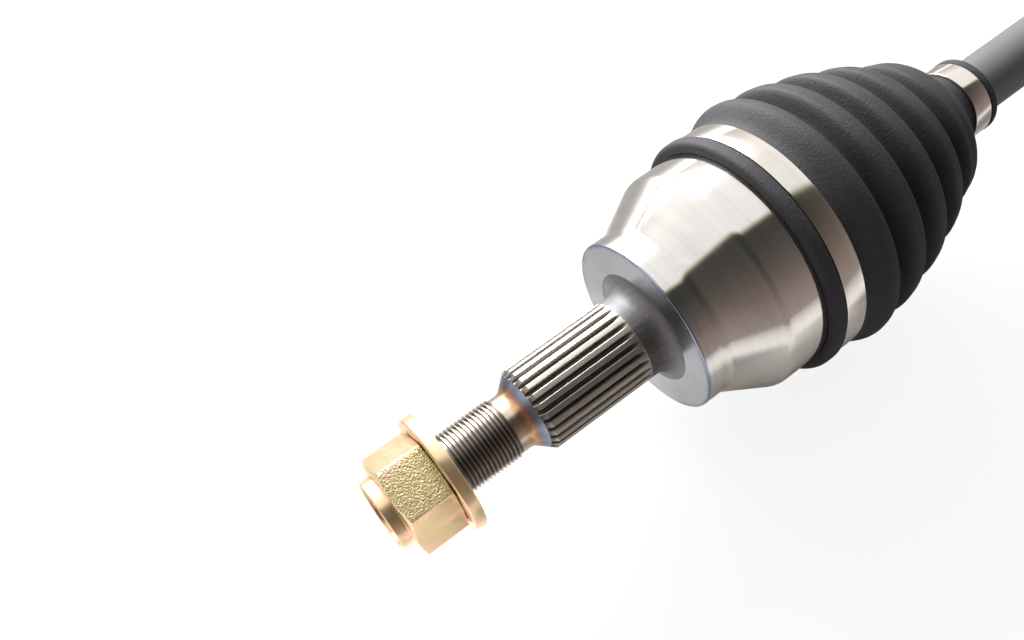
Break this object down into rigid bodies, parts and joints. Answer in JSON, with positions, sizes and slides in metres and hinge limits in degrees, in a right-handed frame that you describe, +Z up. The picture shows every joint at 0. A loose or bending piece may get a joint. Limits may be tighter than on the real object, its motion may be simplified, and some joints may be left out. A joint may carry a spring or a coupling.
{
  "type": "drive shaft",
  "caption": "Car drive shaft: splined hub stub with captive-washer nut, ball joint bell, rubber boots with steel clamps, solid bar and sliding tripod joint.",
  "frame": {"origin": "on the shaft axis at the shoulder face of the outer race bell, where it seats against the wheel hub", "axes": "+X along the shaft from the hub towards the gearbox, +Z up, +Y sideways"},
  "size_m": [0.642, 0.0988, 0.0988],
  "materials": {
    "polished_steel": "turned and polished",
    "yellow_zinc": "yellow passivated zinc",
    "dark_steel": "phosphated",
    "bearing_steel": "ground and lapped",
    "machined_steel": "machined and oiled",
    "boot_rubber": "matte fine grain",
    "clamp_steel": "bright stainless band",
    "bar_paint": "satin dark grey",
    "shield_steel": "pressed sheet"
  },
  "bodies": {
    "bell": {"outer_race_bell": "polished_steel", "outboard_boot": "boot_rubber", "outboard_large_clamp": "clamp_steel"},
    "washer": {"captive_washer": "yellow_zinc"},
    "nut": {"hub_nut": "yellow_zinc"},
    "cage": {"ball_cage": "dark_steel", "joint_balls": "bearing_steel"},
    "shaft": {"shaft_bar": "bar_paint", "inner_race": "machined_steel", "race_ring": "dark_steel", "outboard_small_clamp": "clamp_steel", "inboard_small_clamp": "clamp_steel", "tripod_spider": "machined_steel", "spider_rings": "dark_steel", "roller_keepers": "dark_steel", "needles_1": "bearing_steel", "needles_2": "bearing_steel", "needles_3": "bearing_steel"},
    "roller_a": {"roller_1": "bearing_steel"},
    "roller_b": {"roller_2": "bearing_steel"},
    "roller_c": {"roller_3": "bearing_steel"},
    "housing": {"tripod_housing": "machined_steel", "housing_ring": "dark_steel", "inboard_boot": "boot_rubber", "inboard_large_clamp": "clamp_steel", "dust_shield": "shield_steel", "gearbox_ring": "dark_steel"}
  },
  "joints": [
    {"name": "nut_travel", "type": "slide", "parent": "bell", "child": "washer", "axis": [1, 0, 0], "range_m": [-0.0061, 0.0181]},
    {"name": "nut_turn", "type": "hinge", "parent": "washer", "child": "nut", "pos_m": [-0.09, 0, 0], "axis": [1, 0, 0], "range_deg": [-1440, 4320]},
    {"name": "outboard_bend", "type": "hinge", "parent": "bell", "child": "shaft", "pos_m": [0.038, 0, 0], "axis": [0, 0, 1], "range_deg": [-47, 47], "deforming": ["outboard_boot"]},
    {"name": "cage_bend", "type": "hinge", "parent": "bell", "child": "cage", "pos_m": [0.038, 0, 0], "axis": [0, 0, 1], "range_deg": [-23.6, 23.6]},
    {"name": "inboard_bend", "type": "hinge", "parent": "shaft", "child": "roller_a", "pos_m": [0.418, 0, 0], "axis": [0, 0, 1], "range_deg": [-15, 15], "deforming": ["inboard_boot"]},
    {"name": "plunge", "type": "slide", "parent": "roller_a", "child": "housing", "axis": [1, 0, 0], "range_m": [-0.015, 0.015], "deforming": ["inboard_boot"]},
    {"name": "roller_b_spin", "type": "hinge", "parent": "shaft", "child": "roller_b", "pos_m": [0.418, 0, 0], "axis": [0, -0.866, -0.5], "continuous": true},
    {"name": "roller_c_spin", "type": "hinge", "parent": "shaft", "child": "roller_c", "pos_m": [0.418, 0, 0], "axis": [0, 0.866, -0.5], "continuous": true}
  ],
  "couplings": [
    {"joint": "nut_travel", "follows": "nut_turn", "m_per_rad": 0.00023873},
    {"joint": "cage_bend", "follows": "outboard_bend", "ratio": 0.5}
  ]
}
